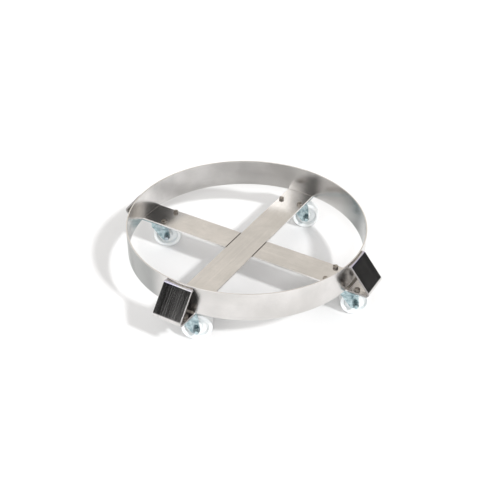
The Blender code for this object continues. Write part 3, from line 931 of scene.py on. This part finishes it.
def fork(station, trail, axleHeight):
    # the sheet's outline across is a U with rounded bends; along the trail it runs from a front edge to
    # a rear one, which close in on a round end at the axle
    shape = casterShape
    _, axle, _, towardNut = casterAxes(station)
    outer = extent(f"fork_{station}", towardNut, axle)[1]
    top = extent(f"fork_{station}", zAxis)[1]
    boss, bend = shape["bossRadius"], shape["forkBend"]
    end = np.array([trail - shape["bossLead"], axleHeight - shape["bossDrop"]])
    legHeights = end[1] - boss * np.cos(np.linspace(math.acos(0.997), math.pi / 2, 20))
    heights = np.concatenate([legHeights, np.linspace(end[1], top - bend, 40)[1:]])
    bendAngle = np.linspace(0, math.pi / 2, 9)[1:]
    level = np.linspace(outer - bend, 0.8 * mm, 12)[1:]
    # up the leg, round the bend and in along the crown: each point is one bend's radius from a middle, in the
    # direction that the sheet faces
    parts = [(outer - bend, heights, 0.0), (outer - bend, top - bend, bendAngle)]
    parts += [(level, top - bend, math.pi / 2)]
    across, upward, angle = np.hstack([np.broadcast_arrays(*part) for part in parts])
    facing = np.stack([np.cos(angle), np.sin(angle)], axis=-1)
    half = np.stack([across, upward], axis=-1) + bend * facing
    outline, facing = (np.concatenate([side, side[::-1] * (-1.0, 1.0)]) for side in (half, facing))
    height = outline[:, 1]
    ends = []
    frontCorner, rearCorner = (-shape["crownFront"], top - shape["crownLip"]), (shape["crownRear"], top)
    for corner, side in ((frontCorner, 1), (rearCorner, -1)):
        touch = tangentAngle(corner, end, boss, side)
        spot = end + boss * np.array([math.cos(touch), math.sin(touch)])
        straight = spot[0] + (height - spot[1]) * (corner[0] - spot[0]) / (corner[1] - spot[1])
        straight = np.maximum(straight, corner[0]) if side == 1 else straight
        around = np.sqrt(np.maximum(boss**2 - (height - end[1]) ** 2, 0))
        ends.append(np.where(height > spot[1], straight, end[0] - side * around))
    front, rear = ends
    rise = smoothStep(top - 12 * mm, top - 1 * mm, height)
    across = np.minimum(np.abs(outline[:, 0]), outer - bend)
    frontArc, rearArc = (np.sqrt(shape[size] ** 2 - across**2) for size in ("crownFront", "crownRear"))
    rear = rear - (shape["crownRear"] - rearArc) * rise
    front = np.maximum(front, -frontArc)
    t = np.concatenate([[0.0], np.linspace(0.03, 0.97, 48), [1.0]])
    length = front[:, None] + (rear - front)[:, None] * t
    press = legPress(shape, length, height[:, None])
    outside = outline[:, None] - facing[:, None] * press[..., None]
    inside = outside - facing[:, None] * shape["forkSheet"]
    skin = np.concatenate([outside, inside[:, ::-1]], axis=1)
    length = np.concatenate([length, length[:, ::-1]], axis=1)
    points = np.stack([length, skin[..., 0], skin[..., 1]], axis=-1)
    return surface(points, caps=True)


def wheelProfile(station):
    # half a section of the wheel, mirrored: bore, hub, sloping walls, web with a raised ring, rim and tread
    shape = casterShape
    swivel, axle, _, towardNut = casterAxes(station)
    hubHalf = extent(f"wheel_{station}", towardNut, axle)[1]
    tread = axle[2]
    rimHalf = hubHalf - 2.1 * mm
    inside = tread - shape["rimDepth"]
    web = shape["webThickness"] / 2
    bore = radii(f"axle_sleeve_{station}", axle, towardNut)[1] + 0.3 * mm
    hub, slope = shape["hubRadius"], shape["wallSlope"]
    half = [(bore, hubHalf - 0.5 * mm), (bore + 0.5 * mm, hubHalf), (hub, hubHalf), (hub + slope, web)]
    stepIn, stepOut, stepUp = shape["webStep"]
    half += [(stepIn, web), (stepIn + 0.4 * mm, web + stepUp), (stepOut - 0.4 * mm, web + stepUp)]
    half += [(stepOut, web), (inside - slope, web), (inside, rimHalf), (tread, rimHalf)]
    rounding = [size * mm for size in (0, 0, 0.9, 1.6, 0.15, 0.2, 0.2, 0.15, 1.6, 0.8)]
    rounding += [shape["treadRound"]]
    mirrored = [(radius, -height) for radius, height in half[::-1]]
    seam = [(tread, 0.35 * mm), (tread, -0.35 * mm)]
    outline = roundedOutline(half + seam + mirrored, rounding + [0, 0] + rounding[::-1], 5, held=True)
    return outline, tread


def recessShadeMask(outline, tread):
    # painted shade in the two corners of the recess, at the foot of the rim and round the hub
    shape = casterShape
    depth = 1 - smoothStep(0.0, 4 * mm, np.abs(outline[:, 1]) - shape["webThickness"] / 2)
    atRim = np.exp(-(((outline[:, 0] - tread + shape["rimDepth"] + 1.4 * mm) / (2 * mm)) ** 2))
    atHub = np.exp(-(((outline[:, 0] - shape["hubRadius"] - 2 * mm) / (2 * mm)) ** 2))
    return depth * np.maximum(atRim, atHub)


def makeCaster(station):
    # everything under one bar end; pieces turned about the axle have their own z axis towards the nut
    shape = casterShape
    swivel, axle, trailing, towardNut = casterAxes(station)
    upright = np.eye(3)
    forkAxes = [trailing, -towardNut, zAxis]
    axleAxes = [trailing, zAxis, towardNut]
    trail = np.linalg.norm((axle - swivel)[:2])
    fixed, swung, rolled = "frame", f"swivel_{station}", f"roller_{station}"

    def add(kind, shape, material, body, node, sharpAngle=32.0, painted=None):
        nodes = [f"{node}_{station}"]
        return addPiece(f"{kind}_{station}", [shape], material, body, nodes, sharpAngle, painted)

    plate = add("plate", topPlate(station, swivel), zinc, fixed, "top_plate")
    cutFrom(plate, boltHoles(boltNames(station)))
    for kind, node, make in (("pin", "kingpin", kingpin), ("cup", "lower_cup", lowerCup)):
        add(kind, placed(make(*extent(f"{node}_{station}", zAxis)), swivel, upright), zinc, fixed, node)
    for row in ("upper", "lower"):
        node = f"{row}_balls"
        balls = ballRing(shape[f"{row}Ball"], shape[f"{row}Race"], middle(f"{node}_{station}")[2])
        add(f"balls_{row}", placed(balls, swivel, upright), ballSteel, fixed, node)

    sheet = placed(fork(station, trail, axle[2]), swivel, forkAxes)
    yoke = add("yoke", sheet, zinc, swung, "fork", sharpAngle=38.0)
    low, high = extent(f"axle_sleeve_{station}", towardNut, axle)
    inner, outer = radii(f"axle_sleeve_{station}", axle, towardNut)
    crownTop, deep = extent(f"fork_{station}", zAxis)[1], shape["drillDepth"]
    pinBore = drillRod(shape["pinRadius"] + shape["pinRunning"], -deep, deep)
    pinBore = placed(pinBore, (*swivel[:2], crownTop), upright)
    cutFrom(yoke, [pinBore, placed(drillRod(inner, -deep, deep), axle, axleAxes)], 38.0)
    softenEdges(yoke, 0.5 * mm)
    tube = roundedOutline([(inner, low), (outer, low), (outer, high), (inner, high)], 0.2 * mm, 2)
    add("sleeve", placed(turned(tube, 64), axle, axleAxes), zinc, swung, "axle_sleeve")

    headEnd, tip = extent(f"axle_bolt_{station}", towardNut, axle)
    nutLow, nutHigh = extent(f"axle_nut_{station}", towardNut, axle)
    size, collar = boltShape["axle"], shape["lockCollar"]
    bolt = hexBolt(size, -nutLow - headEnd, tip + nutLow)
    bolt = placed(bolt, axle - towardNut * nutLow, [trailing, -zAxis, -towardNut])
    # painted highlight: the axle bolt takes the lighter zinc copy
    add("axle", bolt, zincPaintedHighlight, swung, "axle_bolt", sharpAngle=28.0)
    nut = hexNut(size, nutHigh - nutLow - collar, collar, shape["lockCollarRadius"])
    nut = placed(nut, axle + towardNut * nutLow, axleAxes)
    # painted shade: the nut takes the darker zinc copy
    add("nut", nut, zincPaintedShade, swung, "axle_nut", 28.0)

    outline, tread = wheelProfile(station)
    segments = 128
    painted = {
        "wear": np.repeat(smoothStep(tread - 1.6 * mm, tread - 0.3 * mm, outline[:, 0]), segments),
        # painted shade in the corners of the recess
        "grime": np.repeat(recessShadeMask(outline, tread), segments),
    }
    wheel = placed(turned(outline, segments), axle, axleAxes)
    add("roller_wheel", wheel, nylon, rolled, "wheel", painted=painted)


for station in stations:
    makeCaster(station)
makePlateFasteners()
print("stage: casters and fasteners made")


# floor, light and camera

floorShape = {"size": 30.0, "colour": (0.82, 0.82, 0.825, 1.0), "mottle": (0.835, 0.835, 0.84, 1.0)}


def makeFloor():
    # a plain pale floor with a barely mottled surface
    corners = aroundZ(floorShape["size"] / math.sqrt(2), fullTurn(4) + math.pi / 4, 0.0)
    mesh = bpy.data.meshes.new("floor")
    mesh.from_pydata(corners.tolist(), [], [(0, 1, 2, 3)])
    floor = bpy.data.objects.new("floor", mesh)
    bpy.context.scene.collection.objects.link(floor)
    material, shader, wire, place = startMaterial("floor_look")
    base = place.noise(scale=3.0, detail=2.0).blend(floorShape["colour"], floorShape["mottle"])
    feed(shader, Base_Color=base, Roughness=0.85)
    shader.inputs["Specular IOR Level"].default_value = 0.2
    mesh.materials.append(material)


lightShape = {
    # distant lamps: the way from the dolly to each, its power and its angular size
    "key": {"toward": (0.707, -0.23, 0.70), "power": 1.9, "angle": 5.0},
    "fill": {"toward": (0.405, -0.707, 0.58), "power": 0.7, "angle": 8.0},
    "sky": (1.0, 0.995, 0.99, 1.0),
    "bright": 0.80,
    "behind": 0.92,  # as the camera sees it
    "warmToward": (-0.36, 0.74, 0.57),
    "warm": (1.0, 0.945, 0.87, 1.0),
    # panels hung in the studio, in degrees: azimuth and elevation of the middle, half the width, half the
    # height, soft edge; and last how much light each adds or, below zero, takes away
    "panels": [
        (-127.8, 22.0, 9.3, 22.0, 2.0, -0.98),
        (42.0, 22.0, 22.0, 21.0, 5.0, -0.95),
        (124.6, 33.7, 1.4, 3.0, 2.0, 0.25),
        (-90.0, 33.0, 15.0, 7.0, 4.0, 2.6),
        (-125.0, 62.0, 30.0, 12.0, 4.0, 0.9),
    ],
}


def addLamp(name, look):
    # a distant lamp that lights and shades but isn't mirrored in the metal, which shows the panels instead
    lamp = bpy.data.lights.new(name, "SUN")
    lamp.energy = look["power"]
    lamp.angle = math.radians(look["angle"])
    holder = bpy.data.objects.new(name, lamp)
    holder.rotation_mode = "QUATERNION"
    holder.rotation_quaternion = Vector(look["toward"]).to_track_quat("Z", "Y")
    holder.visible_glossy = False
    bpy.context.scene.collection.objects.link(holder)


def makeLight():
    # a key that throws the shadows, a fill, and a pale studio all round with panels hung in it
    look = lightShape
    for name in ("key", "fill"):
        addLamp(name, look[name])
    world = bpy.data.worlds.new("studio")
    world.use_nodes = True
    bpy.context.scene.world = world
    tree = world.node_tree
    wire = Wire(tree)
    direction = wire.node("ShaderNodeTexCoord", output="Generated")

    def towards(vector):
        settings = {"operation": "DOT_PRODUCT"}
        return wire.node("ShaderNodeVectorMath", settings, {0: direction, 1: vector}, "Value")

    def withinAngle(across, ahead, half, edge):
        # 1 where the angle beside the panel's middle is less than half its size, with a soft edge
        angle = abs(wire.maths("ARCTAN2", across, ahead))
        return 1 - angle.step(math.radians(half - edge / 2), math.radians(half + edge / 2))

    strength = look["bright"]
    for *aim, halfWidth, halfHeight, edge, change in look["panels"]:
        azimuth, elevation = np.radians(aim)
        outward = aroundZ(1.0, azimuth, 0.0)
        ahead = outward * math.cos(elevation) + zAxis * math.sin(elevation)
        upward = zAxis * math.cos(elevation) - outward * math.sin(elevation)
        beside = np.cross(zAxis, outward)
        level = withinAngle(towards(beside), towards(outward), halfWidth, edge)
        upright = withinAngle(towards(upward), towards(ahead), halfHeight, edge)
        strength = strength * (1 + level * upright * change)
    warmest = np.array(look["warmToward"]) / np.linalg.norm(look["warmToward"])
    colour = towards(warmest).step(0.6, 0.95).blend(look["sky"], look["warm"])
    background = tree.nodes["Background"]
    # the panels light the metal, and behind the dolly the studio is plain
    seen = wire.node("ShaderNodeLightPath", output="Is Camera Ray")
    strength = strength + seen * (look["behind"] - strength)
    tree.links.new(colour.socket, background.inputs["Color"])
    tree.links.new(strength.socket, background.inputs["Strength"])


cameraShape = {
    "azimuth": 29.8,
    "elevation": 35.46,
    "distance": 2.156,
    "target": (0.0212, -0.0184, 0.1004),
    "roll": 0.94,
    "lens": 59.8,
}


def makeCamera():
    # stands back from the target at an azimuth and elevation, a little rolled
    look = cameraShape
    azimuth, elevation = math.radians(look["azimuth"]), math.radians(look["elevation"])
    level = math.cos(elevation)
    back = Vector((math.sin(azimuth) * level, -math.cos(azimuth) * level, math.sin(elevation)))
    camera = bpy.data.objects.new("camera", bpy.data.cameras.new("camera"))
    camera.data.lens = look["lens"]
    camera.data.sensor_width = 36.0
    camera.rotation_mode = "QUATERNION"
    roll = Matrix.Rotation(math.radians(look["roll"]), 3, "Z").to_quaternion()
    camera.rotation_quaternion = (-back).to_track_quat("-Z", "Y") @ roll
    camera.location = Vector(look["target"]) + back * look["distance"]
    camera.data.clip_end = 100.0
    bpy.context.scene.collection.objects.link(camera)
    bpy.context.scene.camera = camera


makeFloor()
makeLight()
makeCamera()
bpy.context.scene.view_settings.view_transform = "Standard"
print("stage: floor, light and camera made")
